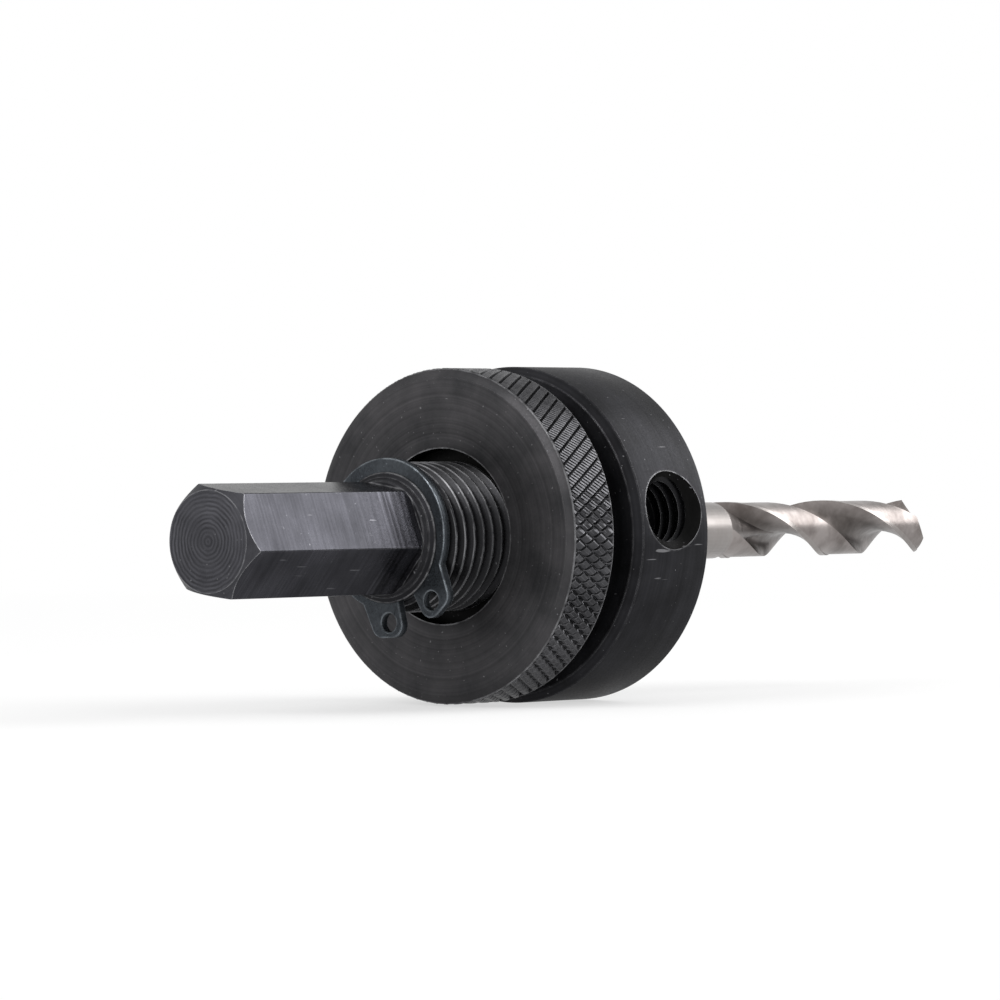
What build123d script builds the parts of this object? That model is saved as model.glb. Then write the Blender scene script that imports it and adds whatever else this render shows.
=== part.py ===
"""Hole saw arbor with a hexagonal shank, drive pins on a knurled nut, and a pilot drill.

The arbor lies along X and the drill points to +X. The origin is the middle of the flange's
front face, where the base of a hole saw seats. Lengths are in millimetres and angles in
degrees. A roll angle is seen from the shank end: it starts at -Y and turns up towards +Z.
"""

import os
from math import asin, cos, degrees, radians, sin, sqrt, tan

from build123d import *

# Hexagonal shank
shank_across_flats = 11.0
shank_length = 27.0
shank_roll = 51.2
shank_end_face_radius = 5.3
shank_end_chamfer_angle = 48.0

# Land and groove that hold the circlip
land_radius = 7.0
land_chamfer = 0.4
land_length = 1.0
clip_groove_depth = 0.3
clip_groove_width = 1.1

# Rear thread, on which the knurled nut turns
rear_thread_radius = 8.0
rear_thread_pitch = 1.5
rear_thread_length = 19.0
thread_depth_per_pitch = 0.6134
rear_relief_radius = 6.95
rear_relief_width = 2.0

# Flange, which drives the saw
flange_width = 12.6
flange_back_chamfer = 0.85
flange_front_chamfer = 0.6

# Front thread, on which the saw is screwed
nose_thread_radius = 7.938
nose_length = 11.0
nose_chamfer = 1.0
nose_relief_radius = 6.8
nose_relief_width = 1.6

# Circlip that keeps the nut on the arbor
clip_thickness = 1.0
clip_back_width = 1.75
clip_front_width = 1.05
clip_grip = 0.02
clip_gap_roll = -67.2
clip_lug_radius = 10.8
clip_lug_inner_angle = 9.2
clip_lug_outer_angle = 31.0
clip_lug_root_angle = 48.0
clip_lug_corner = 1.4
clip_hole_radius = 1.0
clip_hole_circle_radius = 9.0
clip_hole_angle = 20.6

# Knurled nut
nut_width = 7.4
nut_gap = 3.5
nut_chamfer_width = 1.0
nut_chamfer_length = 0.47
nut_counterbore_radius = 9.35
nut_counterbore_depth = 2.0
nut_thread_clearance = 0.08
nut_thread_chamfer = 0.3

# Pin plate, its snap ring and the recess in the nut that holds them
plate_thickness = 1.6
plate_bore_clearance = 0.2
plate_clearance = 0.1
plate_edge_chamfer = 0.2
ring_thickness = 0.8
ring_depth = 0.5
ring_reach = 0.6
ring_clearance = 0.05
ring_gap = 7.0
ring_gap_roll = 70.0
recess_lip = 0.3

# Drive pins
pin_radius = 3.0
pin_roll = 99.0
pin_count = 2
pin_reach = 3.5
pin_tip_chamfer = 0.6
pin_bore_clearance = 0.1
pin_seat_clearance = 0.01

# Discs round the nose: the pins stand clear of its thread, and each disc is wide enough for what it
# holds
pin_nose_gap = 1.262
plate_rim = 0.7
nut_rim = 2.0
flange_step = 0.2
pin_circle_radius = nose_thread_radius + pin_nose_gap + pin_radius
plate_radius = pin_circle_radius + pin_radius + plate_rim
nut_radius = plate_radius + plate_clearance + nut_rim
flange_radius = nut_radius + flange_step

# Set screw that clamps the drill, and its tapped hole
screw_radius = 3.92
screw_length = 9.7
screw_roll = 9.0
screw_clearance = 0.08
screw_mouth_chamfer = 0.75
screw_tip_radius = 2.75
screw_tip_length = 0.8
screw_end_chamfer = 0.6
screw_socket_across_flats = 4.0
screw_socket_depth = 4.0
screw_drill_clearance = 0.02

# Pilot drill
drill_radius = 3.175
drill_length = 78.6
drill_reach = 63.0
drill_bore_clearance = 0.05
drill_bore_end_clearance = 0.5
drill_lead = 37.6
drill_web_radius = 0.55
drill_point_angle = 135.0
drill_lip_relief = 22.8
drill_heel_relief = 52.5
drill_heel_rise = 0.5
drill_flute_opening = 102.0
drill_lead_place = 53.8
drill_rim_overlap = 1.2
drill_margin_width = 0.7
drill_margin_height = 0.1
drill_flute_start = 23.5
drill_runout = 11.5
drill_shank_chamfer = 0.5
drill_mouth_chamfer = 0.5

# Points on the floor of a flute from the lip's face to the heel, as parts of the drill's radius
drill_flute_floor = [(0.63, 0.10), (0.173, 0.135), (-0.111, 0.196), (-0.344, 0.40), (-0.387, 0.64)]

# How far a cutter passes beyond the face that it cuts
cut_through = 1.0

# Places along the arbor
flange_back = -flange_width
thread_start = flange_back - rear_thread_length
groove_front = thread_start
groove_back = groove_front - clip_groove_width
shoulder = groove_back - land_length
shank_end = shoulder - shank_length
nut_front = flange_back - nut_gap
nut_back = nut_front - nut_width
recess_depth = plate_clearance + plate_thickness + ring_clearance * 2 + ring_thickness + recess_lip
recess_floor = nut_front - recess_depth
plate_back = recess_floor + plate_clearance
plate_front = plate_back + plate_thickness
ring_back = plate_front + ring_clearance
screw_middle = -flange_width / 2
drill_back = drill_reach - drill_length


def seen_from_shank(x, roll=0.0):
    """A sketch plane across the arbor at x, seen from the shank end and turned by roll."""
    across = (0, -cos(radians(roll)), sin(radians(roll)))
    return Plane(origin=(x, 0, 0), x_dir=across, z_dir=(-1, 0, 0))


def seen_from_tip(x, roll=0.0):
    """A sketch plane across the arbor at x whose extrusions go towards the tip."""
    across = (0, -cos(radians(roll)), sin(radians(roll)))
    return Plane(origin=(x, 0, 0), x_dir=across, z_dir=(1, 0, 0))


def spoke(roll, radius, x=0.0):
    """The point at a roll angle and a distance from the arbor's axis."""
    return Vector(x, -radius * cos(radians(roll)), radius * sin(radians(roll)))


def turned(*points):
    """A turned piece from the (x, radius) points of its half section."""
    return revolve(make_face(Polyline(*points, close=True)), Axis.X)


def make_shank():
    """The hexagonal shank, with the chamfer that a lathe turned on its end."""
    corner_radius = shank_across_flats / sqrt(3)
    hexagon = RegularPolygon(corner_radius, 6, rotation=0)
    root = shoulder + land_chamfer
    bar = extrude(seen_from_shank(root, shank_roll) * hexagon, root - shank_end)
    chamfer_length = (corner_radius - shank_end_face_radius) * tan(radians(shank_end_chamfer_angle))
    envelope = turned(
        (shank_end, 0),
        (shank_end, shank_end_face_radius),
        (shank_end + chamfer_length, corner_radius),
        (root, corner_radius),
        (root, 0),
    )
    return bar & envelope


def make_turned_body():
    """Everything on the arbor that was turned: land, groove, threads, flange and nose."""
    groove_radius = land_radius - clip_groove_depth
    thread_depth = rear_thread_pitch * thread_depth_per_pitch
    relief_start = flange_back - rear_relief_width
    relief_taper = rear_thread_radius - rear_relief_radius
    nose_taper = nose_thread_radius - nose_relief_radius
    return turned(
        (shoulder, 0),
        (shoulder, land_radius - land_chamfer),
        (shoulder + land_chamfer, land_radius),
        (groove_back, land_radius),
        (groove_back, groove_radius),
        (groove_front, groove_radius),
        (groove_front, rear_thread_radius - thread_depth),
        (groove_front + thread_depth, rear_thread_radius),
        (relief_start - relief_taper, rear_thread_radius),
        (relief_start, rear_relief_radius),
        (flange_back, rear_relief_radius),
        (flange_back, flange_radius - flange_back_chamfer),
        (flange_back + flange_back_chamfer, flange_radius),
        (-flange_front_chamfer, flange_radius),
        (0, flange_radius - flange_front_chamfer),
        (0, nose_relief_radius),
        (nose_relief_width, nose_relief_radius),
        (nose_relief_width + nose_taper, nose_thread_radius),
        (nose_length - nose_chamfer, nose_thread_radius),
        (nose_length, nose_thread_radius - nose_chamfer),
        (nose_length, 0),
    )


def make_drill_bore():
    """The bore for the pilot drill, with the cone that a drill leaves at its bottom."""
    radius = drill_radius + drill_bore_clearance / 2
    bottom = drill_back - drill_bore_end_clearance
    cone = radius / tan(radians(drill_point_angle / 2))
    return turned(
        (bottom - cone, 0),
        (bottom, radius),
        (nose_length - drill_mouth_chamfer, radius),
        (nose_length, radius + drill_mouth_chamfer),
        (nose_length + cut_through, radius + drill_mouth_chamfer),
        (nose_length + cut_through, 0),
    )


def radial_cylinder(radius, inner, outer, top_radius=None):
    """A cylinder or cone that stands on the axis at the set screw's place."""
    outward = spoke(screw_roll, 1)
    foot = Plane(origin=spoke(screw_roll, inner, screw_middle), x_dir=(1, 0, 0), z_dir=outward)
    height = outer - inner
    alignment = (Align.CENTER, Align.CENTER, Align.MIN)
    if top_radius is None:
        return foot * Cylinder(radius, height, align=alignment)
    return foot * Cone(radius, top_radius, height, align=alignment)


def make_screw_hole():
    """The tapped hole through the flange to the drill's bore, with its countersunk mouth."""
    radius = screw_radius + screw_clearance
    outer = flange_radius + cut_through
    mouth_radius = radius + screw_mouth_chamfer + cut_through
    hole = radial_cylinder(radius, 0, outer)
    return hole + radial_cylinder(radius, flange_radius - screw_mouth_chamfer, outer, mouth_radius)


def pin_rolls():
    """The roll angle of each drive pin."""
    return [pin_roll + 360.0 / pin_count * number for number in range(pin_count)]


def make_pin_holes(radius, x_from, x_to):
    """A hole for each drive pin, from one place on the arbor to another."""
    holes = [seen_from_tip(x_from, roll) * Pos(pin_circle_radius, 0, 0)
             * Cylinder(radius, x_to - x_from, align=(Align.CENTER, Align.CENTER, Align.MIN))
             for roll in pin_rolls()]
    return Part() + holes


def make_mandrel():
    """The body of the arbor, turned and milled from one bar."""
    body = make_turned_body() + make_shank()
    body -= make_drill_bore()
    body -= make_screw_hole()
    body -= make_pin_holes(pin_radius + pin_bore_clearance, flange_back - cut_through, cut_through)
    return body


def make_circlip():
    """The circlip: a tapering ring with two lugs and their plier holes."""
    inner = land_radius - clip_groove_depth + clip_grip
    outer = inner + (clip_back_width + clip_front_width) / 2
    shift = (clip_back_width - clip_front_width) / 2
    sheet = Pos(-shift, 0) * Circle(outer)
    for side in (1, -1):
        corners = [
            (clip_lug_inner_angle, inner),
            (clip_lug_inner_angle, clip_lug_radius),
            (clip_lug_outer_angle, clip_lug_radius),
            (clip_lug_root_angle, outer - shift),
            (clip_lug_root_angle, inner),
        ]
        points = [(radius * cos(radians(side * angle)), radius * sin(radians(side * angle)))
                  for angle, radius in corners]
        lug = make_face(Polyline(*points, close=True))
        ends = lug.vertices().sort_by_distance((0, 0))[-2:]
        sheet += fillet(ends, clip_lug_corner)
    sheet -= Circle(inner)
    reach = 2 * clip_lug_radius
    half_gap = radians(clip_lug_inner_angle)
    sheet -= make_face(Polyline((0, 0), (reach * cos(half_gap), reach * sin(half_gap)),
                                (reach * cos(half_gap), -reach * sin(half_gap)), close=True))
    for side in (1, -1):
        around = Rot(0, 0, side * clip_hole_angle)
        sheet -= around * Pos(clip_hole_circle_radius, 0) * Circle(clip_hole_radius)
    clip_front = groove_front - (clip_groove_width - clip_thickness) / 2
    return extrude(seen_from_shank(clip_front, clip_gap_roll) * sheet, clip_thickness)


def make_nut():
    """The nut, with its counterbored back and the recess that holds the pin plate."""
    bore = rear_thread_radius + nut_thread_clearance
    recess_radius = plate_radius + plate_clearance
    groove_radius = recess_radius + ring_depth
    ring_groove_back = plate_front
    ring_groove_front = nut_front - recess_lip
    face_radius = nut_radius - nut_chamfer_width
    counterbore_floor = nut_back + nut_counterbore_depth
    return turned(
        (nut_back, nut_counterbore_radius),
        (nut_back, face_radius),
        (nut_back + nut_chamfer_length, nut_radius),
        (nut_front - nut_chamfer_length, nut_radius),
        (nut_front, face_radius),
        (nut_front, recess_radius),
        (ring_groove_front, recess_radius),
        (ring_groove_front, groove_radius),
        (ring_groove_back, groove_radius),
        (ring_groove_back, recess_radius),
        (recess_floor, recess_radius),
        (recess_floor, bore + nut_thread_chamfer),
        (recess_floor - nut_thread_chamfer, bore),
        (counterbore_floor + nut_thread_chamfer, bore),
        (counterbore_floor, bore + nut_thread_chamfer),
        (counterbore_floor, nut_counterbore_radius),
    )


def make_pin_plate():
    """The round plate that carries the drive pins and stays still while the nut turns."""
    bore = rear_thread_radius + plate_bore_clearance
    edge = plate_edge_chamfer
    plate = turned(
        (plate_back, bore),
        (plate_back, plate_radius - edge),
        (plate_back + edge, plate_radius),
        (plate_front - edge, plate_radius),
        (plate_front, plate_radius - edge),
        (plate_front, bore),
    )
    seat_radius = pin_radius + pin_seat_clearance
    return plate - make_pin_holes(seat_radius, plate_back - cut_through, plate_front + cut_through)


def make_drive_pin(roll):
    """A dowel pressed into the plate, long enough to stand out of the flange."""
    length = pin_reach - plate_back
    profile = make_face(Polyline(
        (0, 0),
        (pin_radius, 0),
        (pin_radius, length - pin_tip_chamfer),
        (pin_radius - pin_tip_chamfer, length),
        (0, length),
        close=True,
    ))
    upright = revolve(Plane.XZ * profile, Axis.Z)
    return seen_from_tip(plate_back, roll) * Pos(pin_circle_radius, 0, 0) * upright


def make_snap_ring():
    """The open ring that keeps the plate in the nut."""
    outer = plate_radius + plate_clearance + ring_depth - ring_clearance
    inner = plate_radius + plate_clearance - ring_reach
    sheet = Circle(outer) - Circle(inner)
    sheet -= Pos(outer, 0) * Rectangle(outer, ring_gap)
    return extrude(seen_from_tip(ring_back, ring_gap_roll) * sheet, ring_thickness)


def make_set_screw():
    """The socket set screw that presses on the drill."""
    inner = drill_radius + screw_drill_clearance
    outer = inner + screw_length
    shoulder_at = inner + screw_tip_length
    screw = radial_cylinder(screw_tip_radius, inner, shoulder_at, screw_radius)
    chamfer_at = outer - screw_end_chamfer
    screw += radial_cylinder(screw_radius, shoulder_at, chamfer_at)
    screw += radial_cylinder(screw_radius, chamfer_at, outer, screw_radius - screw_end_chamfer)
    outward = spoke(screw_roll, 1)
    mouth = Plane(origin=spoke(screw_roll, outer, screw_middle), x_dir=(1, 0, 0), z_dir=outward)
    socket = extrude(mouth * RegularPolygon(screw_socket_across_flats / sqrt(3), 6), -screw_socket_depth)
    return screw - socket


def lip_angle():
    """How far the lip stands ahead of a diameter at the rim, because it clears the web."""
    return degrees(asin(drill_web_radius / drill_radius))


def land_roll(x):
    """The roll angle of a sketch plane on which the flute section lies at a place x."""
    return lip_angle() + (drill_lead_place - x) / drill_lead * 360.0


def flute_section():
    """The section of one flute: a lip face that is almost straight, the web and a round heel."""
    rim = drill_rim_overlap * drill_radius
    lip = radians(lip_angle())
    heel = lip + radians(drill_flute_opening)
    lip_start = (rim * cos(lip), rim * sin(lip))
    heel_end = (rim * cos(heel), rim * sin(heel))
    points = [(along * drill_radius, across * drill_radius) for along, across in drill_flute_floor]
    floor = Spline(lip_start, *points, heel_end)
    middle = (lip + heel) / 2
    crown = (2 * rim * cos(middle), 2 * rim * sin(middle))
    return make_face([floor, Line(heel_end, crown), Line(crown, lip_start)])


def drill_section():
    """The section of the fluted drill, with a narrow margin and a relieved land behind it."""
    section = Circle(drill_radius)
    for half in (0, 180):
        section -= Rot(0, 0, half) * flute_section()
    relief_from = lip_angle() - degrees(drill_margin_width / drill_radius)
    relief_to = lip_angle() + drill_flute_opening - 180.0
    span = radians(relief_from - relief_to)
    reach = 2 * drill_radius
    wedge = make_face(Polyline((0, 0), (reach, 0), (reach * cos(span / 2), reach * sin(span / 2)),
                               (reach * cos(span), reach * sin(span)), close=True))
    band = wedge - Circle(drill_radius - drill_margin_height)
    for half in (0, 180):
        section -= Rot(0, 0, half + relief_to) * band
    return section


def make_flutes():
    """The twisted length of the drill, from the run-out to beyond the point."""
    length = drill_reach - drill_flute_start
    start = seen_from_tip(drill_flute_start, land_roll(drill_flute_start))
    section = (start * drill_section()).faces()[0]
    return Part() + Solid.extrude_linear_with_rotation(
        section, (drill_flute_start, 0, 0), (length, 0, 0), 360.0 * length / drill_lead)


def make_runout():
    """The curved core on which the flutes run out towards the drill's shank."""
    arc = TangentArc((drill_flute_start + drill_runout, drill_web_radius),
                     (drill_flute_start, drill_radius), tangent=(-1, 0))
    runout_end = drill_flute_start + drill_runout
    base = Polyline((drill_flute_start, drill_radius), (drill_flute_start, 0),
                    (runout_end, 0), (runout_end, drill_web_radius))
    return revolve(make_face([arc, base]), Axis.X)


def make_point_cutters():
    """The four ground faces of the point: a flank behind each lip and a steeper one behind its heel."""
    cone = 1 / tan(radians(drill_point_angle / 2))
    relief = tan(radians(drill_lip_relief))
    heel_relief = tan(radians(drill_heel_relief))
    corner = drill_reach - drill_radius * cone
    tip = seen_from_tip(drill_reach, land_roll(corner))
    size = 8 * drill_radius
    block = Box(size, size, size, align=(Align.CENTER, Align.CENTER, Align.MIN))
    cutters = []
    for side in (1, -1):
        flank = Plane(origin=(0, side * drill_web_radius, 0), x_dir=(1, 0, -side * cone),
                      z_dir=(side * cone, -side * relief, 1))
        heel = Plane(origin=(0, 0, drill_heel_rise), x_dir=(1, 0, 0), z_dir=(0, -side * heel_relief, 1))
        cutters += [tip.location * flank.location * block, tip.location * heel.location * block]
    return cutters


def make_pilot_drill():
    """The pilot drill: a plain shank, two right-hand flutes and a ground point."""
    shank = turned(
        (drill_back, 0),
        (drill_back, drill_radius - drill_shank_chamfer),
        (drill_back + drill_shank_chamfer, drill_radius),
        (drill_flute_start, drill_radius),
        (drill_flute_start, 0),
    )
    drill = make_flutes() + make_runout() + shank
    for cutter in make_point_cutters():
        drill -= cutter
    return drill


def build_parts():
    """Every piece of the arbor under its own name."""
    parts = {
        "mandrel": make_mandrel(),
        "stop_circlip": make_circlip(),
        "knurled_nut": make_nut(),
        "pin_plate": make_pin_plate(),
        "plate_snap_ring": make_snap_ring(),
        "set_screw": make_set_screw(),
        "pilot_drill": make_pilot_drill(),
    }
    for number, roll in enumerate(pin_rolls(), start=1):
        parts[f"drive_pin_{number}"] = make_drive_pin(roll)
    return parts


os.makedirs("parts", exist_ok=True)
for name, piece in build_parts().items():
    export_step(piece, f"parts/{name}.step")
    print(name, len(piece.solids()), round(piece.volume, 1))
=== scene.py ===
# %% [markdown]
# # A hole saw arbor
# The object is a hole saw arbor: a steel bar with a hexagonal shank for the drill chuck, a threaded
# part with a knurled nut, a flange, and a twist drill that centres the saw. All of it but the drill
# is black oxide steel. We load the exact model that the CAD tool made. Its plain solids are the
# frame, and everything we add sits where they are, in metres, along the X axis.

# %% Load the frame
from math import cos, pi, radians, sin, sqrt, tan

import bmesh
import bpy
from mathutils import Matrix, Vector


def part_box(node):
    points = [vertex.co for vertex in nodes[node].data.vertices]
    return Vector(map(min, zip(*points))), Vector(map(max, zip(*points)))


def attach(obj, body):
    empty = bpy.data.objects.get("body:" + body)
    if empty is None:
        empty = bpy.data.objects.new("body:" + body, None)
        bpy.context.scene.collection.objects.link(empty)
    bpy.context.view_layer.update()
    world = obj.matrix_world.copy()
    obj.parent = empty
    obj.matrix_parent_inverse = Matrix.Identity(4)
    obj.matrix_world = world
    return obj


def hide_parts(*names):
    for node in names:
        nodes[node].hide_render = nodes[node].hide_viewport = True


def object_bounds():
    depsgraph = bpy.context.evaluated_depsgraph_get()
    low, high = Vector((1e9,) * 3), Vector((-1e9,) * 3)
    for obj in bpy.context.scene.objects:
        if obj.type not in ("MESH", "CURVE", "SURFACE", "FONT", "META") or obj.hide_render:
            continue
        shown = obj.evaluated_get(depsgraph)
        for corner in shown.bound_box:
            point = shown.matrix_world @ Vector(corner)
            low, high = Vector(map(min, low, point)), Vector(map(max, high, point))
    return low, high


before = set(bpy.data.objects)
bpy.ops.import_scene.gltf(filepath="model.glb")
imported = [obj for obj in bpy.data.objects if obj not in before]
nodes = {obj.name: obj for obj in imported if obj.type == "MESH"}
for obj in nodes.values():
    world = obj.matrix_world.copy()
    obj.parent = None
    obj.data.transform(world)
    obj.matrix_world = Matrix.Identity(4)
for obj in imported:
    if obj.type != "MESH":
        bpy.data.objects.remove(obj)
cad_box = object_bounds()
MM = 0.001
print("nodes:", sorted(nodes))
print("size in mm:", [round((high - low) / MM, 2) for low, high in zip(*cad_box)])

# %% [markdown]
# ## The camera
# The photo was taken almost level, from behind the shank, at 39.5 degrees to the arbor's axis. A
# long lens keeps the far end almost as large as the near one. We know where one point of the nut's
# back face lies in the picture, so we place the camera from that point: back along the view by the
# distance, then across and up by as much as the point is off the middle of the picture.

# %% Place the camera
VIEW_TURN = radians(39.5)
VIEW_DROP = radians(0.73)
VIEW_DISTANCE = 650 * MM
LENS_MM = 219.0
NUT_LEFT_OF_MIDDLE = 6.2 * MM
NUT_BELOW_MIDDLE = 3.89 * MM
nut_low, nut_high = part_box("knurled_nut")
nut_face = Vector((nut_low[0], 0, 0))
forward = Vector((cos(VIEW_TURN) * cos(VIEW_DROP), sin(VIEW_TURN) * cos(VIEW_DROP), -sin(VIEW_DROP)))
right = forward.cross(Vector((0, 0, 1))).normalized()
up = right.cross(forward)

camera_data = bpy.data.cameras.new("camera")
camera_data.lens = LENS_MM
camera_data.clip_start = 0.01
camera_data.clip_end = 100.0
camera = bpy.data.objects.new("camera", camera_data)
camera.location = nut_face - VIEW_DISTANCE * forward + NUT_LEFT_OF_MIDDLE * right + NUT_BELOW_MIDDLE * up
camera.rotation_euler = Matrix((right, up, -forward)).transposed().to_euler()
bpy.context.scene.collection.objects.link(camera)
bpy.context.scene.camera = camera
print("camera at", [round(c, 4) for c in camera.location])

# %% [markdown]
# ## Small tools for making pieces
# Most of this object came off a lathe. The lathe's work is copied by one bmesh operator, spin: it
# turns a half section round the axis. The same operator with a small step along the axis at each
# turn makes a helix, which is how a thread is cut. A cutter is a piece like any other, and the
# Boolean modifier takes it away from the workpiece. It also hands its own material to the cut, so
# a tapped hole gets the look of a tapped hole.

# %% Turn a half section into a solid
FULL_TURN = 2 * pi
LATHE_STEPS = 240


def new_piece(name, bm, material):
    """Makes an object from a bmesh, with smooth faces that keep their sharp edges."""
    bmesh.ops.remove_doubles(bm, verts=bm.verts, dist=0.0002 * MM)
    bmesh.ops.recalc_face_normals(bm, faces=bm.faces)
    mesh = bpy.data.meshes.new(name)
    bm.to_mesh(mesh)
    bm.free()
    mesh.materials.append(material)
    mesh.shade_smooth()
    piece = bpy.data.objects.new(name, mesh)
    bpy.context.scene.collection.objects.link(piece)
    return piece


def section_wire(bm, outline, closed, rounding=0.0):
    """Draws (x, radius) points in millimetres as a wire, with its corners rounded."""
    verts = [bm.verts.new((x * MM, 0, radius * MM)) for x, radius in outline]
    pairs = list(zip(verts, verts[1:]))
    if closed:
        pairs.append((verts[-1], verts[0]))
    for pair in pairs:
        bm.edges.new(pair)
    if rounding:
        corners = [v for v in verts if len(v.link_edges) == 2]
        bmesh.ops.bevel(bm, geom=corners, offset=rounding * MM, offset_type="OFFSET", segments=2,
                        profile=0.5, affect="VERTICES", material=-1)
    return bm.verts[:] + bm.edges[:]


def turned(name, outline, material, closed=False, rounding=0.0, steps=LATHE_STEPS):
    """A lathe's work: the half section spun once round the X axis."""
    bm = bmesh.new()
    geometry = section_wire(bm, outline, closed, rounding)
    bmesh.ops.spin(bm, geom=geometry, cent=(0, 0, 0), axis=(1, 0, 0), dvec=(0, 0, 0),
                   angle=FULL_TURN, steps=steps, use_merge=True, use_duplicate=False)
    return new_piece(name, bm, material)


# %% Sweep a cutter along a helix
def helix(name, outline, pitch, turns, start, material, steps=96, place=Matrix()):
    """A closed outline swept along a right-hand helix, its ends closed. It starts above the axis."""
    bm = bmesh.new()
    wire = section_wire(bm, [(x + start, radius) for x, radius in outline], closed=True)
    first = bmesh.ops.contextual_create(bm, geom=[g for g in wire if isinstance(g, bmesh.types.BMEdge)])
    count = round(turns * steps)
    bmesh.ops.spin(bm, geom=first["faces"], cent=(0, 0, 0), axis=(1, 0, 0),
                   dvec=(pitch / steps * MM, 0, 0), angle=FULL_TURN * turns, steps=count,
                   use_merge=False, use_duplicate=False)
    bmesh.ops.transform(bm, matrix=place, verts=bm.verts)
    return new_piece(name, bm, material)


# %% Carve one piece with another
def carve(piece, tool, operation="DIFFERENCE"):
    """Cuts, joins or crosses a piece with a tool, and clears the tool away."""
    step = piece.modifiers.new("carve", "BOOLEAN")
    step.operation = operation
    step.solver = "EXACT"
    step.material_mode = "TRANSFER"
    step.object = tool
    evaluated = piece.evaluated_get(bpy.context.evaluated_depsgraph_get())
    carved = bpy.data.meshes.new_from_object(evaluated)
    piece.modifiers.clear()
    piece.data = carved
    bpy.data.objects.remove(tool)
    print(f"{piece.name}: {operation.lower()} leaves {len(carved.polygons)} faces")
    return piece


def finish_piece(piece, body, record_slot, *replaced, sharp=32.0):
    """Marks the sharp edges, and lets the piece ride on its body in place of its CAD nodes."""
    piece.data.shade_smooth()
    piece.data.set_sharp_from_angle(angle=radians(sharp))
    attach(piece, body)
    if replaced:
        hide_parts(*replaced)
    return piece


# %% [markdown]
# ## Black oxide steel
# Black oxide is a thin dark layer on bare steel, so we see the tool marks through it. A turned
# surface has fine rings, a milled one has lines across it. Where the part was handled, edges are
# rubbed light and the faces carry small bright specks and hairline scratches. On a thread the crests
# are painted light, partly as worn steel and partly as a painted highlight, and painted shade dims
# them near the nut. One helper builds this layer by layer from noise, and each finish sets how dark,
# how shiny and how marked it is. The helper called math makes a Math node, so the shader's sums read
# almost like plain ones.

# %% A helper for shader nodes
def add(tree, kind, settings=None, **inputs):
    """Adds a shader node. Inputs are set to values, or linked where they are sockets."""
    node = tree.nodes.new(kind)
    for key, value in (settings or {}).items():
        setattr(node, key, value)
    for key, value in inputs.items():
        place = int(key[1:]) if key[0] == "i" and key[1:].isdigit() else key.replace("_", " ")
        socket = node.inputs[place]
        if isinstance(value, bpy.types.NodeSocket):
            tree.links.new(value, socket)
        else:
            socket.default_value = value
    return node


def blank_material(name):
    """A material with nodes, its Principled shader and its object coordinates."""
    material = bpy.data.materials.new(name)
    material.use_nodes = True
    tree = material.node_tree
    shader = tree.nodes["Principled BSDF"]
    coordinates = tree.nodes.new("ShaderNodeTexCoord").outputs["Object"]
    return material, tree, shader, coordinates


def math(tree, operation, a, b=0.0):
    """The result of one calculation in a shader."""
    return add(tree, "ShaderNodeMath", {"operation": operation}, i0=a, i1=b).outputs[0]


def remap(tree, value, low, high, to_low=0.0, to_high=1.0):
    """A value moved from one range to another and held inside it."""
    return add(tree, "ShaderNodeMapRange", {"clamp": True}, i0=value, i1=low, i2=high,
               i3=to_low, i4=to_high).outputs[0]


def noise(tree, vector, scale, detail=2.0, roughness=0.5):
    """Cloudy noise from 0 to 1 on any vector."""
    return add(tree, "ShaderNodeTexNoise", {}, Vector=vector, Scale=scale, Detail=detail,
               Roughness=roughness).outputs[0]


# %% Patterns that a lathe and a mill leave
def lathe_coordinates(tree, coordinates):
    """Place along the axis and distance from it: constant along every ring of a turned surface."""
    parts = add(tree, "ShaderNodeSeparateXYZ", {}, i0=coordinates).outputs
    radius = math(tree, "SQRT", math(tree, "ADD", math(tree, "MULTIPLY", parts[1], parts[1]),
                                     math(tree, "MULTIPLY", parts[2], parts[2])))
    return add(tree, "ShaderNodeCombineXYZ", {}, i0=parts[0], i1=radius, i2=0.0).outputs[0]


def mill_coordinates(tree, coordinates):
    """Place along the bar, with almost no change across it, for marks that run across a flat."""
    return add(tree, "ShaderNodeMapping", {}, Vector=coordinates, Scale=(1.0, 0.03, 0.03)).outputs[0]


def scratches(tree, coordinates, turn, scale, rarity):
    """Short hairlines along one direction: noise that is stretched and cut off near its top."""
    stretched = add(tree, "ShaderNodeMapping", {}, Vector=coordinates, Rotation=turn,
                    Scale=(0.09, 1.0, 1.0)).outputs[0]
    lines = noise(tree, stretched, scale, detail=1.0)
    return remap(tree, lines, rarity, rarity + 0.03)


def turning_rings(tree, coordinates, feed, face, waver=1.2):
    """The ridges that a lathe leaves on an end face at x = face, one for each feed: 0 to 1."""
    parts = add(tree, "ShaderNodeSeparateXYZ", {}, i0=lathe_coordinates(tree, coordinates)).outputs
    turns = math(tree, "MULTIPLY", parts[1], 1 / (feed * MM))
    shaken = math(tree, "ADD", turns, math(tree, "MULTIPLY", noise(tree, coordinates, 600.0), waver))
    wave = math(tree, "SINE", math(tree, "MULTIPLY", shaken, FULL_TURN))
    uneven = remap(tree, noise(tree, coordinates, 420.0, detail=3.0), 0.35, 0.65, 0.25, 1.0)
    on_face = remap(tree, parts[0], (face + 0.10) * MM, (face + 0.05) * MM)
    strength = math(tree, "MULTIPLY", math(tree, "MULTIPLY", uneven, on_face), 0.5)
    return math(tree, "ADD", math(tree, "MULTIPLY", wave, strength), 0.5)


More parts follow.
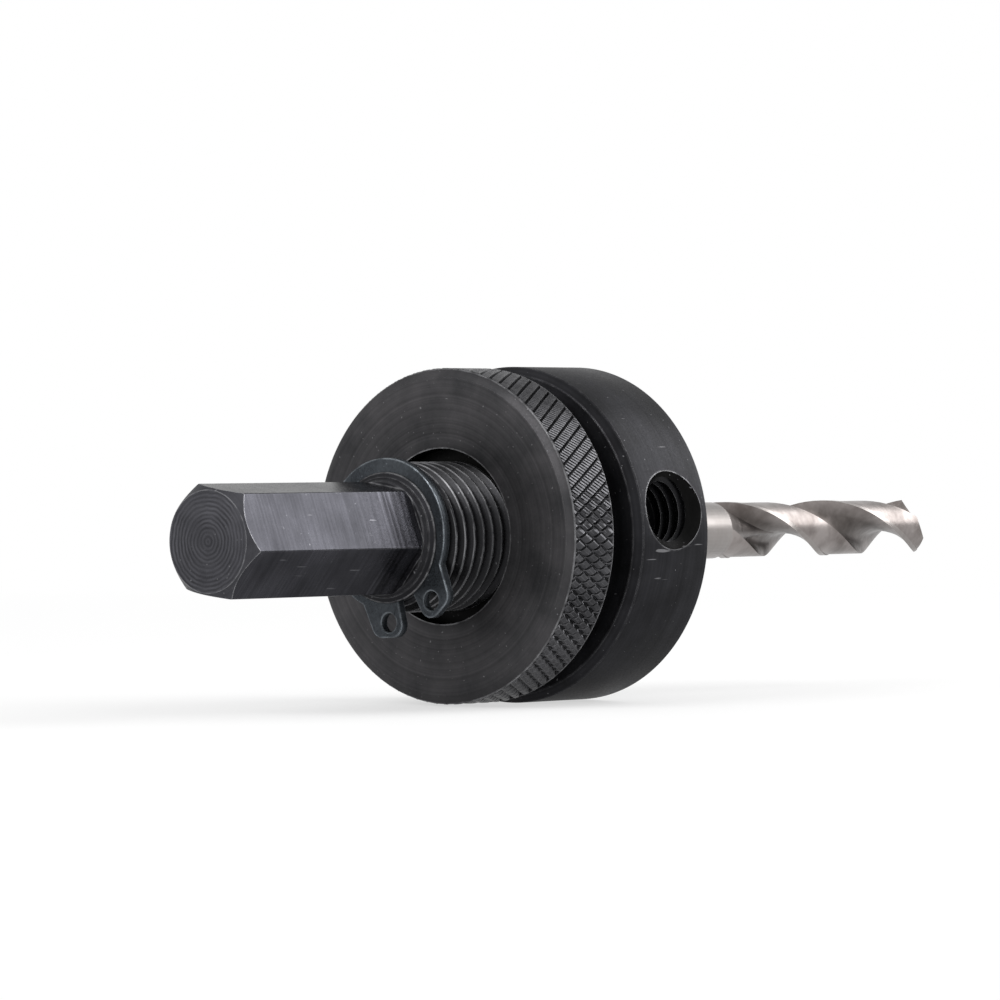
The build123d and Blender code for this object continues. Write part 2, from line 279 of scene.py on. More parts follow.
def chatter(tree, coordinates, marking, start):
    """The streaks where a mill ends its cut, as a factor on the tint that is 1 up to x = start."""
    along = add(tree, "ShaderNodeSeparateXYZ", {}, i0=coordinates).outputs[0]
    streaks = remap(tree, noise(tree, marking, 1300.0, detail=2.0), 0.40, 0.60, -0.5, 1.5)
    past_start = remap(tree, along, start * MM, (start + 0.5) * MM)
    return math(tree, "ADD", math(tree, "MULTIPLY", streaks, past_start), 1.0)


# %% Places where the bare steel shows
def specks_and_hairs(tree, coordinates):
    """Small bright specks and hairline scratches, 1 where they are."""
    dust = remap(tree, noise(tree, coordinates, 3100.0, detail=1.0), 0.765, 0.80)
    hairs = math(tree, "MAXIMUM", scratches(tree, coordinates, (0.3, 0.5, 1.1), 2300.0, 0.765),
                 scratches(tree, coordinates, (1.2, -0.4, -0.6), 2100.0, 0.77))
    return math(tree, "MAXIMUM", dust, hairs)


def rubbed_edges(tree, coordinates, width):
    """Edges that are rubbed bare, in patches: there a Bevel node's normal leaves the true one."""
    bevel = add(tree, "ShaderNodeBevel", {"samples": 6}, Radius=width * MM).outputs[0]
    normal = add(tree, "ShaderNodeNewGeometry").outputs["Normal"]
    likeness = add(tree, "ShaderNodeVectorMath", {"operation": "DOT_PRODUCT"}, i0=bevel,
                   i1=normal).outputs[1]
    edge = remap(tree, likeness, 0.997, 0.965)
    patchy = remap(tree, noise(tree, coordinates, 900.0, detail=3.0), 0.35, 0.6, 0.15, 0.9)
    return math(tree, "MULTIPLY", edge, patchy)


def painted_crest_light(tree, coordinates, radius_from, shade_x):
    """Painted highlight and worn steel on crests past a radius; painted shade dims it towards the given x.
    """
    parts = add(tree, "ShaderNodeSeparateXYZ", {}, i0=lathe_coordinates(tree, coordinates)).outputs
    # Painted highlight, partly worn steel: the crests are made lighter than the flanks.
    crest = remap(tree, parts[1], radius_from * MM, (radius_from + 0.06) * MM)
    # Painted shade: the crests dim towards the nut, where its shadow falls on them.
    nut_shade = remap(tree, parts[0], shade_x * MM, (shade_x - 4.5) * MM, 0.1, 1.0)
    patchy = remap(tree, noise(tree, coordinates, 330.0, detail=3.0), 0.35, 0.62, 0.08, 0.85)
    return math(tree, "MULTIPLY", math(tree, "MULTIPLY", crest, nut_shade), patchy)


# %% The layers of black oxide
def black_oxide(name, dark, light, roughness, marks=None, mark_scale=2500.0, mark_depth=0.02,
                worn_edges=0.3, specks=1.0, wear_and_highlight=(0.26, 0.26, 0.27), feed=0.0, face=0.0, crest_highlight_from=0.0,
                crest_shade_at=0.0, chatter_from=0.0, contrast=0.6, relief=0.6, sheen=0.1, metal=0.6):
    """Dark oxide on steel: cloudy tint, tool marks, specks, hairlines, rubbed edges, painted crest
    highlights.
    """
    material, tree, shader, coordinates = blank_material(name)
    clouds = noise(tree, coordinates, 170.0, detail=5.0, roughness=0.6)
    tint = add(tree, "ShaderNodeMix", {"data_type": "RGBA"}, i0=remap(tree, clouds, 0.35, 0.65),
               i6=(*dark, 1.0), i7=(*light, 1.0)).outputs[2]
    grain = noise(tree, coordinates, 5200.0, detail=2.0)
    marking = marks(tree, coordinates) if marks else coordinates
    lines = noise(tree, marking, mark_scale, detail=3.0, roughness=0.65)
    if feed:
        rings = turning_rings(tree, coordinates, feed, face)
        lines = math(tree, "ADD", math(tree, "MULTIPLY", lines, 0.45), math(tree, "MULTIPLY", rings, 0.55))
    shade = remap(tree, lines, 0.25, 0.75, 0.55, 1.45)
    if chatter_from:
        shade = math(tree, "MULTIPLY", shade, chatter(tree, coordinates, marking, chatter_from))
    shade = add(tree, "ShaderNodeCombineColor", {}, i0=shade, i1=shade, i2=shade).outputs[0]
    tint = add(tree, "ShaderNodeMix", {"data_type": "RGBA", "blend_type": "MULTIPLY"}, i0=contrast, i6=tint,
               i7=shade).outputs[2]
    bare = math(tree, "MULTIPLY", specks_and_hairs(tree, coordinates), 0.55 * specks)
    if worn_edges:
        bare = math(tree, "MAXIMUM", bare, rubbed_edges(tree, coordinates, worn_edges))
    # On threads this adds a painted highlight on the crests, dimmed by painted shade near the nut.
    if crest_highlight_from:
        bare = math(tree, "MAXIMUM", bare, painted_crest_light(tree, coordinates, crest_highlight_from, crest_shade_at))
    colour = add(tree, "ShaderNodeMix", {"data_type": "RGBA"}, i0=bare, i6=tint, i7=(*wear_and_highlight, 1.0)).outputs[2]
    tree.links.new(colour, shader.inputs["Base Color"])
    shader.inputs["Metallic"].default_value = metal
    shader.inputs["Specular IOR Level"].default_value = sheen
    shader.inputs["Specular Tint"].default_value = (0.5, 0.5, 0.5, 1.0)
    rough = math(tree, "ADD", remap(tree, grain, 0.3, 0.7, roughness - 0.06, roughness + 0.06),
                 remap(tree, clouds, 0.3, 0.7, -0.04, 0.04))
    tree.links.new(rough, shader.inputs["Roughness"])
    height = math(tree, "ADD", lines, math(tree, "MULTIPLY", grain, 0.35))
    bump = add(tree, "ShaderNodeBump", {}, Strength=relief, Distance=mark_depth * MM,
               Height=height).outputs[0]
    tree.links.new(bump, shader.inputs["Normal"])
    return material


# %% [markdown]
# ## The mandrel
# The mandrel is one bar of steel: hexagonal shank, groove for the circlip, rear thread, flange and
# threaded nose. We follow the workshop. First the lathe turns the whole blank from its half
# section, bore included. Then the hexagon is milled, the threads are cut with a V-shaped tool, and
# the flange is drilled and tapped. The outside sizes come from the boxes of the CAD nodes. Most of
# the others are the CAD model's own, and the rest belong to what it leaves plain, such as the threads
# and the cone of the land. Each way of cutting gets its own black oxide finish.

# %% Main sizes, in millimetres
def millimetres(place):
    """A measure of the frame in millimetres, rid of its rounding."""
    return round(place / MM, 2)


mandrel_low, mandrel_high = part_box("mandrel")
shank_end = millimetres(mandrel_low[0])
nose_length = millimetres(mandrel_high[0])
flange_radius = millimetres(mandrel_high[1])
nut_back = millimetres(nut_low[0])
nut_front = millimetres(nut_high[0])
nut_radius = millimetres(nut_high[1])
flange_back = -12.6
shoulder = -33.7
shank_roll = 51.2
corner_radius = 11.0 / sqrt(3)
thread_radius = 8.0
thread_pitch = 1.5
thread_root_radius = 7.08
thread_start = -31.6
thread_end = -15.65
relief_radius = 6.95
print("mandrel from", shank_end, "to", nose_length, "mm, flange", flange_radius, "mm in radius")
print("nut from", nut_back, "to", nut_front, "mm,", nut_radius, "mm in radius")

# %% The oxide finishes of this arbor
turned_oxide = black_oxide("turned_oxide", (0.013, 0.013, 0.0145), (0.024, 0.024, 0.027), 0.42,
                           lathe_coordinates, 2600.0, 0.010)
nut_oxide = black_oxide("nut_oxide", (0.034, 0.034, 0.036), (0.060, 0.058, 0.061), 0.42,
                        lathe_coordinates, 2400.0, 0.012, specks=0.7, contrast=0.5)
faced_oxide = black_oxide("faced_oxide", (0.038, 0.038, 0.043), (0.066, 0.066, 0.074), 0.32,
                          lathe_coordinates, 2200.0, 0.045, worn_edges=0.14, feed=0.45, face=shank_end,
                          contrast=0.85)
milled_oxide = black_oxide("milled_oxide", (0.030, 0.030, 0.0345), (0.046, 0.046, 0.053), 0.22,
                           mill_coordinates, 3000.0, 0.008, worn_edges=0.14, wear_and_highlight=(0.34, 0.34, 0.36),
                           chatter_from=shoulder - 5.5, relief=0.25, specks=0.4, metal=0.85)
threaded_oxide = black_oxide("threaded_oxide", (0.008, 0.008, 0.009), (0.014, 0.014, 0.016), 0.28,
                             lathe_coordinates, 1500.0, 0.008, worn_edges=0.06, specks=0.6, sheen=0.4)
# The rear thread's crests get a painted highlight, which painted shade dims towards the nut.
crested_oxide = black_oxide("crested_oxide", (0.010, 0.010, 0.011), (0.018, 0.018, 0.020), 0.28,
                            lathe_coordinates, 1500.0, 0.008, worn_edges=0.06, specks=0.6,
                            wear_and_highlight=(0.23, 0.23, 0.24), crest_highlight_from=thread_radius - 0.14,
                            crest_shade_at=nut_back - 0.5, sheen=0.4)
knurled_oxide = black_oxide("knurled_oxide", (0.038, 0.038, 0.041), (0.078, 0.078, 0.083), 0.24,
                            None, 1800.0, 0.010, worn_edges=0.06, specks=0.8, wear_and_highlight=(0.20, 0.20, 0.21),
                            metal=0.8)
# Painted shade: a near-black finish for the counterbore, the drilled holes and the socket.
shaded_recess_oxide = black_oxide("shaded_recess_oxide", (0.004, 0.004, 0.004), (0.007, 0.007, 0.007), 0.45,
                          lathe_coordinates, 1800.0, 0.01, worn_edges=0.0)
print("materials so far:", [material.name for material in bpy.data.materials])

# %% Sizes of the nose and of the holes
nose_radius = 7.938
nose_pitch = 25.4 / 18
nose_relief_radius = 6.8
nose_relief_width = 1.6
drill_bore_radius = 3.2
drill_bore_end = -16.1
drill_bore_tip = -18.02
pin_hole_radius = 3.1
pin_circle_radius = 12.2
pin_rolls = (99.0, 279.0)
screw_roll = 9.0
screw_pitch = 1.25
screw_middle = flange_back / 2
tapped_crest_radius = 3.33
tapped_root_radius = 4.0

# %% Turn the blank
neck_foot_radius = 6.0
neck_radius = 6.3
land_radius = 6.95
clip_seat_radius = 6.7
clip_groove_back = -32.7
flange_back_chamfer = 0.85
flange_front_chamfer = 0.6
blank_outline = [
    (shoulder, 0), (shoulder, neck_foot_radius), (shoulder + 0.35, neck_radius),
    (shoulder + 0.55, neck_radius),
    (clip_groove_back - 0.12, land_radius), (clip_groove_back, land_radius),
    (clip_groove_back, clip_seat_radius), (thread_start, clip_seat_radius),
    (thread_start, thread_root_radius),
    (thread_start + thread_radius - thread_root_radius, thread_radius), (thread_end, thread_radius),
    (thread_end + thread_radius - relief_radius, relief_radius), (flange_back, relief_radius),
    (flange_back, flange_radius - flange_back_chamfer),
    (flange_back + flange_back_chamfer, flange_radius),
    (-flange_front_chamfer, flange_radius), (0, flange_radius - flange_front_chamfer),
    (0, nose_relief_radius), (nose_relief_width, nose_relief_radius),
    (nose_relief_width + nose_radius - nose_relief_radius, nose_radius),
    (nose_length - 1.0, nose_radius), (nose_length, nose_radius - 1.0),
    (nose_length, drill_bore_radius + 0.5), (nose_length - 0.5, drill_bore_radius),
    (drill_bore_end, drill_bore_radius), (drill_bore_tip, 0),
]
mandrel = turned("arbor_mandrel", blank_outline, turned_oxide, rounding=0.1)
print("blank has", len(mandrel.data.polygons), "faces")

# %% [markdown]
# The lathe faced the end of the shank with a slow feed, which left rings about half a millimetre
# apart. They are deep enough to catch the light, so they are real grooves in the half section and
# not a pattern. The hexagon is a six-sided prism with eased edges. Crossing it with the turned end
# gives the curved line where each flat meets the chamfer.

# %% Turn the shank with its faced end
def faced_end(x, radius):
    """The half section of a faced end: a ridge at every turn of the lathe."""
    feed = 0.45
    depth = 0.035
    points = [(x, 0.0)]
    ring = 0.25
    while ring < radius - 0.3:
        points += [(x + depth, ring), (x, ring + feed * 0.55)]
        ring += feed
    return points + [(x, radius)]


end_face_radius = 5.3
end_chamfer = (corner_radius - end_face_radius) * tan(radians(48))
root = shoulder + 0.3
bar_outline = faced_end(shank_end, end_face_radius) + [
    (shank_end + end_chamfer, corner_radius), (shoulder - 0.55, corner_radius),
    (shoulder - 0.12, neck_foot_radius), (root, neck_foot_radius - 0.4), (root, 0),
]
shank = turned("shank", bar_outline, faced_oxide)
print("turned shank has", len(shank.data.polygons), "faces")

# %% Mill the hexagon
bm = bmesh.new()
bmesh.ops.create_cone(bm, cap_ends=True, segments=6, radius1=corner_radius * MM, radius2=corner_radius * MM,
                      depth=(root - shank_end + 2) * MM,
                      matrix=Matrix.Translation(((root + shank_end) / 2 * MM, 0, 0))
                      @ Matrix.Rotation(radians(90 - shank_roll), 4, "X")
                      @ Matrix.Rotation(pi / 2, 4, "Z") @ Matrix.Rotation(pi / 2, 4, "X"))
long_edges = [e for e in bm.edges if abs((e.verts[0].co - e.verts[1].co).x) > 5 * MM]
bmesh.ops.bevel(bm, geom=long_edges, offset=0.12 * MM, offset_type="OFFSET", segments=2, profile=0.5,
                affect="EDGES", material=-1)
hexagon = new_piece("hexagon", bm, milled_oxide)
carve(shank, hexagon, "INTERSECT")
carve(mandrel, shank, "UNION")

# %% [markdown]
# The thread cutter's tip is a V with an angle of 60 degrees. Near the surface its flanks open a
# little more, which breaks the sharp crest. It starts past one end of the rear thread, moves on by
# the pitch at every turn and ends in the relief groove, just as on a lathe. The nose thread runs the
# other way, from its own relief groove to the end of the nose.

# %% Cut the outside threads
def outside_thread_tool(radius, root_radius, pitch):
    """The outline of the groove between two crests, open above the surface."""
    slope = tan(radians(30))
    root_half = pitch / 12
    broken_from = radius - 0.08
    broken_half = root_half + (broken_from - root_radius) * slope
    mouth_half = broken_half + 0.07
    mouth = radius + 0.03
    clear = radius + 0.8
    return [(-root_half, root_radius), (-broken_half, broken_from), (-mouth_half, mouth),
            (-mouth_half, clear), (mouth_half, clear), (mouth_half, mouth),
            (broken_half, broken_from), (root_half, root_radius)]


thread_turns = 13
thread_runout = -13.65
rear_tool = helix("rear_tool", outside_thread_tool(thread_radius, thread_root_radius, thread_pitch),
                  thread_pitch, thread_turns, thread_runout - thread_pitch * thread_turns, crested_oxide)
carve(mandrel, rear_tool)
nose_root_radius = 7.07
nose_thread_start = 0.85
nose_turns = 7
nose_tool = helix("nose_tool", outside_thread_tool(nose_radius, nose_root_radius, nose_pitch),
                  nose_pitch, nose_turns, nose_thread_start, threaded_oxide, steps=72)
carve(mandrel, nose_tool)

# %% [markdown]
# The cross hole is drilled, countersunk and tapped. It stands on the axis at a roll angle, so the
# cutters are made along X, where the helper works, and then turned up and moved to the hole. The
# thread inside is a groove that a tap left, with its crests nearer the middle of the hole.

# %% Where the cross hole stands, and what taps it
def spoke_place(roll, x):
    """Turns a cutter that lies along X so that it stands on the axis at a roll angle."""
    outward = Vector((0, -cos(radians(roll)), sin(radians(roll))))
    along = Vector((1, 0, 0))
    third = outward.cross(along)
    frame_matrix = Matrix((outward, along, third)).transposed().to_4x4()
    return Matrix.Translation((x * MM, 0, 0)) @ frame_matrix


def inside_thread_tool(crest_radius, root_radius, pitch):
    """The outline of the groove that a tap cuts, open towards the hole's middle."""
    slope = tan(radians(30))
    root_half = pitch / 16
    broken_from = crest_radius + 0.06
    broken_half = root_half + (root_radius - crest_radius - 0.06) * slope
    mouth_half = broken_half + 0.06
    mouth = crest_radius - 0.04
    clear = crest_radius - 0.6
    return [(-root_half, root_radius), (root_half, root_radius), (broken_half, broken_from),
            (mouth_half, mouth), (mouth_half, clear), (-mouth_half, clear), (-mouth_half, mouth),
            (-broken_half, broken_from)]


# %% Drill and tap the cross hole
screw_place = spoke_place(screw_roll, screw_middle)
countersink = flange_radius - 0.75
outside = flange_radius + 1.0
hole_outline = [
    (0.5, 0), (0.5, tapped_crest_radius), (countersink - 0.45, tapped_crest_radius),
    (countersink, tapped_root_radius), (outside, tapped_root_radius + outside - countersink), (outside, 0),
]
# The cross hole's walls take the near-black finish: painted shade.
hole_tool = turned("hole_tool", hole_outline, shaded_recess_oxide, steps=96)
hole_tool.data.transform(screw_place)
carve(mandrel, hole_tool)
tap_start = 2.0
tap_turns = 14
tap = helix("tap", inside_thread_tool(tapped_crest_radius, tapped_root_radius, screw_pitch),
            screw_pitch, tap_turns, tap_start, threaded_oxide, steps=64, place=screw_place)
carve(mandrel, tap)

# %% Drill the holes for the drive pins
drill_outline = [(flange_back - 1, 0), (flange_back - 1, pin_hole_radius), (1, pin_hole_radius), (1, 0)]
for roll in pin_rolls:
    # The pin holes' walls take the near-black finish: painted shade.
    pin_tool = turned("pin_tool", drill_outline, shaded_recess_oxide, steps=64)
    pin_tool.data.transform(Matrix.Translation((0, -pin_circle_radius * MM * cos(radians(roll)),
                                                pin_circle_radius * MM * sin(radians(roll)))))
    carve(mandrel, pin_tool)
finish_piece(mandrel, "arbor_body", "black_oxide_steel", "mandrel")

# %% [markdown]
# ## The knurled nut
# The nut is turned too: a counterbored back, a recess in front for the pin plate, and a threaded
# bore. The rim is left narrower between its two collars, to make room for the knurl. The counterbore
# hardly sees light, so its walls get a near-black finish, which is painted shade. A cutter a hair
# wider skims it and leaves that finish there.

# %% Turn the nut
knurl_depth = 0.35
nut_core_radius = nut_radius - knurl_depth - 0.05
nut_bore_radius = 7.19
nut_face_radius = 17.0
nut_chamfer = 0.47
nut_collar = nut_chamfer + 0.12
nut_rim_radius = nut_radius - 0.04
counterbore_radius = 9.35
counterbore_floor = nut_back + 2.0
recess_radius = 16.0
recess_floor = nut_front - 2.9
ring_groove_radius = 16.5
ring_groove_front = nut_front - 0.3
ring_groove_back = nut_front - 1.2
bore_mouth_radius = nut_bore_radius + 0.9
bore_chamfer = 0.6
nut_outline = [
    (nut_back, counterbore_radius), (nut_back, nut_face_radius), (nut_back + nut_chamfer, nut_rim_radius),
    (nut_back + nut_collar, nut_rim_radius), (nut_back + nut_collar, nut_core_radius),
    (nut_front - nut_collar, nut_core_radius), (nut_front - nut_collar, nut_rim_radius),
    (nut_front - nut_chamfer, nut_rim_radius), (nut_front, nut_face_radius), (nut_front, recess_radius),
    (ring_groove_front, recess_radius), (ring_groove_front, ring_groove_radius),
    (ring_groove_back, ring_groove_radius), (ring_groove_back, recess_radius),
    (recess_floor, recess_radius), (recess_floor, bore_mouth_radius),
    (recess_floor - bore_chamfer, nut_bore_radius), (counterbore_floor + bore_chamfer, nut_bore_radius),
    (counterbore_floor, bore_mouth_radius), (counterbore_floor, counterbore_radius),
]
nut = turned("arbor_nut", nut_outline, nut_oxide, closed=True, rounding=0.06)
print("turned nut has", len(nut.data.polygons), "faces")

# %% Paint shade into the counterbore and tap the nut
shade_radius = counterbore_radius + 0.05
shade_floor = counterbore_floor + 0.05
# Painted shade: this cutter gives the counterbore's walls the near-black finish.
counterbore = turned("counterbore", [(nut_back - 1, 0), (nut_back - 1, shade_radius),
                                     (shade_floor, shade_radius), (shade_floor, 0)], shaded_recess_oxide)
carve(nut, counterbore)
nut_turns = 4
nut_thread_start = thread_runout - 7.5 * thread_pitch
nut_tool = helix("nut_tool", inside_thread_tool(nut_bore_radius, thread_radius + 0.06, thread_pitch),
                 thread_pitch, nut_turns, nut_thread_start, threaded_oxide)
carve(nut, nut_tool)
finish_piece(nut, "nut", "black_oxide_nut", "knurled_nut")

# %% [markdown]
# The rim was rolled with a knurling tool, whose two wheels press crossing grooves at 30 degrees to
# the axis. A knurl is a grid of small pyramids between two families of grooves. We lay the grid out
# flat and shear it, trim it to the rim and wrap it round the nut. Every cell has a groove on its
# border and a raised middle. On the upper half of this nut the second wheel missed its own track and
# pressed three shallow grooves in place of one, which die out before the next deep groove. Both ways
# of rolling blend into each other over a few cells. At both ends the knurl stops at a smooth collar.

# %% Lay out the knurl's lines
knurl_count = 81
knurl_width = FULL_TURN * nut_radius / knurl_count
knurl_length = knurl_width / tan(radians(30))
fine_from, fine_to, fine_blend = -4.0, 150.0, 22.0
fine_groove_height = 0.3
fine_grooves = 3
along_lines = (0.0, 0.14, 0.60, 0.86)
across_lines = (0.0, 0.1, 0.233)


def ruled(place, lines, split):
    """Moves the evenly spaced lines of a grid to their places inside each cell."""
    step = round(place)
    group, line = divmod(step, len(lines))
    return group / split + lines[line], line


def knurl_height(across, line, arc):
    """How high the knurl stands, from 0 in a groove to 1: line counts from a deep groove."""
    roll = (arc / nut_radius / FULL_TURN * 360 + 180) % 360 - 180
    place = across % 1.0
    coarse = min(1.0, min(place, 1.0 - place) / 0.3)
    third = place * fine_grooves
    in_fine_groove = abs(third - round(third)) < 0.01 and line < len(along_lines) - 1
    fine = fine_groove_height if in_fine_groove else 1.0
    share = max(0.0, min(1.0, (roll - fine_from) / fine_blend, (fine_to - roll) / fine_blend))
    return (coarse * (1 - share) + fine * share) if line else 0.0


# %% Roll the knurl
spare_cells = 13
columns = knurl_count + spare_cells
steps_along = columns * len(along_lines)
steps_across = columns * len(across_lines) * fine_grooves
bm = bmesh.new()
bmesh.ops.create_grid(bm, x_segments=steps_along, y_segments=steps_across, size=0.5)
heights = bm.verts.layers.float.new("height")
for vert in bm.verts:
    along, line = ruled((vert.co.x + 0.5) * steps_along, along_lines, 1)
    across, _ = ruled((vert.co.y + 0.5) * steps_across, across_lines, fine_grooves)
    along, across = along - columns / 2, across - columns / 2
    vert.co = ((along + across) * knurl_length / 2, (across - along) * knurl_width / 2, 0)
    vert[heights] = knurl_height(across, line, vert.co.y)

# %% Trim the knurl and wrap it round the nut
knurl_low = nut_back + nut_collar - 0.03
knurl_high = nut_front - nut_collar + 0.03
half_rim = pi * nut_radius
middle_x = (knurl_low + knurl_high) / 2
for point, normal in (((knurl_low - middle_x, 0, 0), (-1, 0, 0)), ((knurl_high - middle_x, 0, 0), (1, 0, 0)),
                      ((0, -half_rim, 0), (0, -1, 0)), ((0, half_rim, 0), (0, 1, 0))):
    bmesh.ops.bisect_plane(bm, geom=bm.verts[:] + bm.edges[:] + bm.faces[:], plane_co=point,
                           plane_no=normal, clear_outer=True)
for vert in bm.verts:
    x, angle = vert.co.x + middle_x, vert.co.y / nut_radius
    reach = nut_radius - knurl_depth * (1 - vert[heights])
    vert.co = Vector((x, -reach * cos(angle), reach * sin(angle))) * MM
bmesh.ops.remove_doubles(bm, verts=bm.verts, dist=0.002 * MM)
bmesh.ops.solidify(bm, geom=bm.faces[:], thickness=0.25 * MM)
knurl = new_piece("nut_knurl", bm, knurled_oxide)
finish_piece(knurl, "nut", "black_oxide_nut", sharp=25.0)
print("the knurl has", len(knurl.data.polygons), "faces")

# %% [markdown]
# ## The set screw
# A socket set screw sits deep in the cross hole. Only its outer end with the hexagon socket can be
# seen, and only from right above the hole. It is turned, threaded and socketed like the real one.

# %% Turn, thread and socket the set screw
screw_inner = 3.195
screw_length = 9.7
screw_outer = screw_inner + screw_length
screw_radius = 3.92
screw_root_radius = 3.24
screw_turns = 10
socket_radius = 4 / sqrt(3)
socket_depth = 4
screw_outline = [
    (screw_inner, 0), (screw_inner, 2.6), (screw_inner + 0.8, 3.2), (screw_inner + 1.3, screw_radius),
    (screw_outer - 0.6, screw_radius), (screw_outer, screw_radius - 0.6), (screw_outer, 0),
]
screw = turned("arbor_set_screw", screw_outline, turned_oxide, steps=96)
screw_tool = helix("screw_tool", outside_thread_tool(screw_radius, screw_root_radius, screw_pitch),
                   screw_pitch, screw_turns, tap_start - screw_pitch / 2, threaded_oxide, steps=64)
carve(screw, screw_tool)
bm = bmesh.new()
bmesh.ops.create_cone(bm, cap_ends=True, segments=6, radius1=socket_radius * MM,
                      radius2=socket_radius * MM, depth=2 * socket_depth * MM,
                      matrix=Matrix.Translation((screw_outer * MM, 0, 0)) @ Matrix.Rotation(pi / 2, 4, "Y"))
# The socket takes the near-black finish: painted shade.
carve(screw, new_piece("socket_tool", bm, shaded_recess_oxide))
screw.data.transform(screw_place)
finish_piece(screw, "clamp_screw", "black_oxide_screw", "set_screw")

# %% [markdown]
# ## The parts that keep their CAD shape
# The circlip, the pin plate, its snap ring, the drive pins and the drill already have their true
# shapes. Their faces are loose triangles, so a Weld modifier joins them. The two stamped rings then
# get a small bevel, which eases their edges as tumbling does. On the others Edge Split keeps every
# edge crisp, and the faces between them stay smooth.

# %% Finish for spring steel
spring_finish = black_oxide("spring_steel", (0.030, 0.034, 0.039), (0.052, 0.058, 0.065), 0.30,
                            None, 2400.0, 0.006, worn_edges=0.16, specks=0.8, wear_and_highlight=(0.30, 0.33, 0.36))
print("the spring steel has", len(spring_finish.node_tree.nodes), "shader nodes")

# %% Ease or split the edges of a CAD node
sharp_angle = 30.0


def dress_node(node, material, edge=0.0):
    """Joins a CAD node's triangles, eases or splits its sharp edges and gives it a finish."""
    piece = nodes[node]
    piece.data.materials.clear()
    piece.data.materials.append(material)
    weld = piece.modifiers.new("weld", "WELD")
    weld.merge_threshold = 0.0005 * MM
    if edge:
        bevel = piece.modifiers.new("ease", "BEVEL")
        bevel.width = edge * MM
        bevel.segments = 2
        bevel.limit_method = "ANGLE"
        bevel.angle_limit = radians(sharp_angle)
        bevel.use_clamp_overlap = True
    else:
        split = piece.modifiers.new("crisp", "EDGE_SPLIT")
        split.split_angle = radians(sharp_angle)
    print(node, "keeps", len(piece.data.polygons), "triangles")
    return piece


# %% Finish for ground pins and the bright drill
def bright_steel(name, dark, light, roughness, marks, mark_scale, mark_depth, flutes=None):
    """Bare ground steel: warm grey, fine grinding lines, and in a drill's flutes browner with painted shade.
    """
    material, tree, shader, coordinates = blank_material(name)
    clouds = noise(tree, coordinates, 260.0, detail=4.0, roughness=0.6)
    lines = noise(tree, marks(tree, coordinates), mark_scale, detail=3.0, roughness=0.7)
    tint = add(tree, "ShaderNodeMix", {"data_type": "RGBA"}, i0=remap(tree, clouds, 0.35, 0.65),
               i6=(*dark, 1.0), i7=(*light, 1.0)).outputs[2]
    if flutes:
        floor_radius, rim_radius, shaded_flute_tint, rim_tint = flutes
        radius = add(tree, "ShaderNodeSeparateXYZ", {}, i0=lathe_coordinates(tree, coordinates)).outputs[1]
        # Painted shade: the tint grows darker and browner towards the flute floor.
        depth = remap(tree, radius, rim_radius * MM, floor_radius * MM)
        patchy = remap(tree, noise(tree, coordinates, 420.0, detail=3.0), 0.3, 0.7, 0.45, 1.0)
        tint = add(tree, "ShaderNodeMix", {"data_type": "RGBA"}, i0=math(tree, "MULTIPLY", depth, patchy),
                   i6=tint, i7=(*shaded_flute_tint, 1.0)).outputs[2]
        margin = remap(tree, radius, (rim_radius + 0.14) * MM, (rim_radius + 0.19) * MM)
        tint = add(tree, "ShaderNodeMix", {"data_type": "RGBA"}, i0=margin, i6=tint,
                   i7=(*rim_tint, 1.0)).outputs[2]
    tree.links.new(tint, shader.inputs["Base Color"])
    shader.inputs["Metallic"].default_value = 1.0
    tree.links.new(remap(tree, lines, 0.25, 0.75, roughness - 0.07, roughness + 0.09),
                   shader.inputs["Roughness"])
    bump = add(tree, "ShaderNodeBump", {}, Strength=0.3, Distance=mark_depth * MM, Height=lines).outputs[0]
    tree.links.new(bump, shader.inputs["Normal"])
    return material


# The flute floors get a dark brown tint: painted shade deep in the flutes.
drill_finish = bright_steel("drill_steel", (0.13, 0.112, 0.105), (0.27, 0.245, 0.236), 0.33,
                            lathe_coordinates, 1600.0, 0.001,
                            flutes=(1.5, 3.0, (0.060, 0.052, 0.048), (0.28, 0.262, 0.252)))
pin_finish = bright_steel("pin_steel", (0.42, 0.42, 0.43), (0.52, 0.52, 0.53), 0.22,
                          lathe_coordinates, 3000.0, 0.004)
print("the drill's steel has", len(drill_finish.node_tree.nodes), "shader nodes")

# %% Dress the six pieces
dress_node("stop_circlip", spring_finish, edge=0.14)
dress_node("plate_snap_ring", spring_finish, edge=0.05)
dress_node("pin_plate", turned_oxide)
dress_node("drive_pin_1", pin_finish)
dress_node("drive_pin_2", pin_finish)
dress_node("pilot_drill", drill_finish)

# %% [markdown]
# ## Floor, backdrop and light
# The photo is a packshot on white. The floor is a plain pale sheet right under the arbor, and the
# world is white where the camera and the reflections see it. Black steel shows little colour of its
# own: what we see is the light that it mirrors. So one large soft lamp stands where the upper flats
# and the flange mirror it, above and in front of the drill. The other stands farther off, behind
# the shank, where the nut's chamfer and the rim of the circlip mirror it.

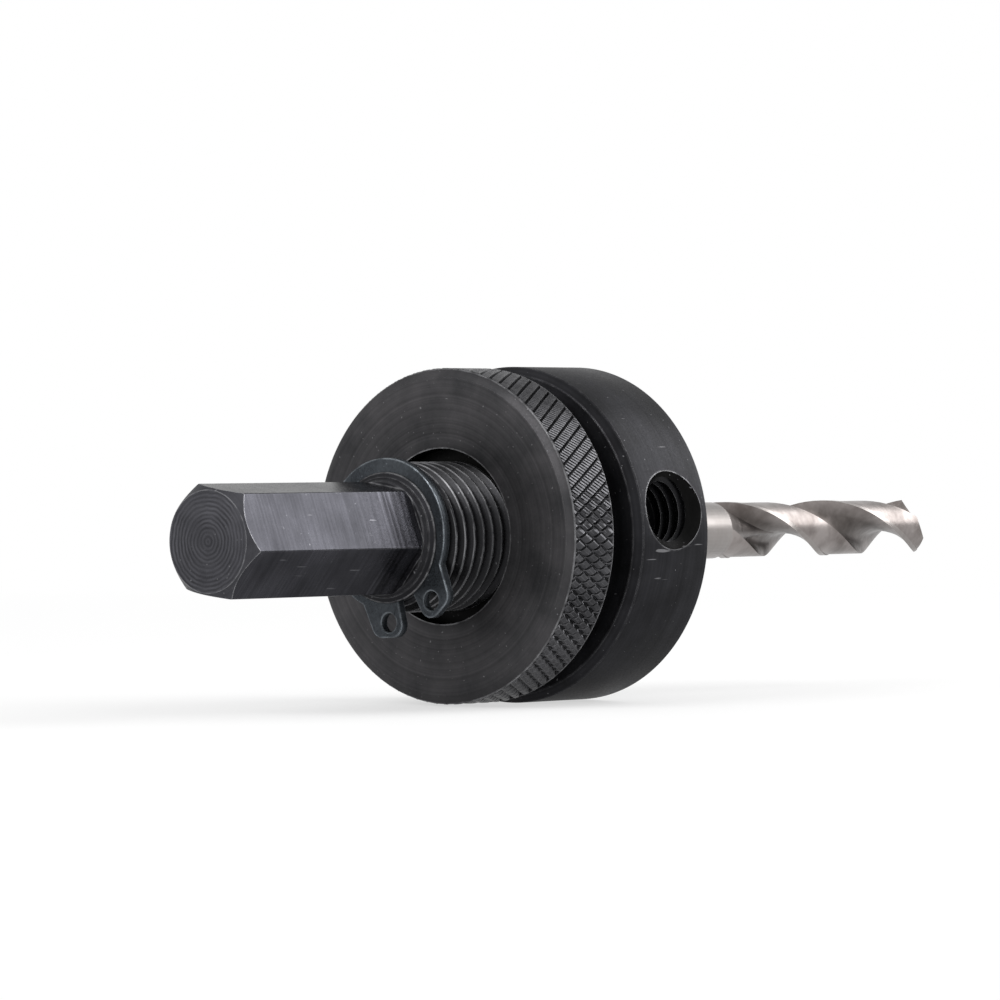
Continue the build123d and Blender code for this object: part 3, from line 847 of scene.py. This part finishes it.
# %% Lay the floor
floor_material, tree, shader, coordinates = blank_material("floor_paper")
shader.inputs["Base Color"].default_value = (0.88, 0.88, 0.88, 1.0)
shader.inputs["Roughness"].default_value = 0.9
path = add(tree, "ShaderNodeLightPath").outputs
seen = math(tree, "MAXIMUM", math(tree, "MAXIMUM", path["Is Camera Ray"], path["Is Glossy Ray"]),
            path["Is Transmission Ray"])
away = add(tree, "ShaderNodeVectorMath", {"operation": "LENGTH"}, i0=coordinates).outputs[1]
backdrop = math(tree, "MULTIPLY", seen, remap(tree, away, 0.05, 0.45, 0.6, 1.0))
white = add(tree, "ShaderNodeEmission", {}, Color=(1.0, 1.0, 1.0, 1.0), Strength=1.0).outputs[0]
paper = add(tree, "ShaderNodeMixShader", {}, i0=backdrop, i1=shader.outputs[0], i2=white).outputs[0]
tree.links.new(paper, tree.nodes["Material Output"].inputs["Surface"])
floor_half = 30.0
bm = bmesh.new()
bmesh.ops.create_grid(bm, x_segments=1, y_segments=1, size=floor_half,
                      matrix=Matrix.Translation((0, 0, cad_box[0][2])))
floor = new_piece("floor", bm, floor_material)
print("floor at z =", round(cad_box[0][2] / MM, 2), "mm")

# %% Light the backdrop
world = bpy.data.worlds.new("studio")
bpy.context.scene.world = world
world.use_nodes = True
sky = world.node_tree
background = sky.nodes["Background"]
path = add(sky, "ShaderNodeLightPath").outputs
shown = math(sky, "MAXIMUM", math(sky, "MAXIMUM", path["Is Camera Ray"], path["Is Glossy Ray"]),
             path["Is Transmission Ray"])
sky.links.new(remap(sky, shown, 0.0, 1.0, 0.6, 1.0), background.inputs["Strength"])
background.inputs["Color"].default_value = (1.0, 1.0, 1.0, 1.0)
print("world:", world.name)


# %% Set up the lamps
def soft_lamp(name, direction, distance, size, power):
    """A square soft lamp that shines on the nut from a direction."""
    lamp_data = bpy.data.lights.new(name, "AREA")
    lamp_data.shape = "SQUARE"
    lamp_data.size = size
    lamp_data.energy = power
    lamp = bpy.data.objects.new(name, lamp_data)
    toward = Vector(direction).normalized()
    lamp.location = nut_face + toward * distance
    lamp.rotation_euler = toward.to_track_quat("Z", "Y").to_euler()
    bpy.context.scene.collection.objects.link(lamp)
    return lamp


soft_lamp("key_lamp", (0.765, -0.42, 0.49), 0.7, 0.5, 3.9)
soft_lamp("rim_lamp", (-0.85, 0.02, 0.52), 0.9, 0.5, 4.2)
bpy.context.scene.view_settings.view_transform = "Standard"
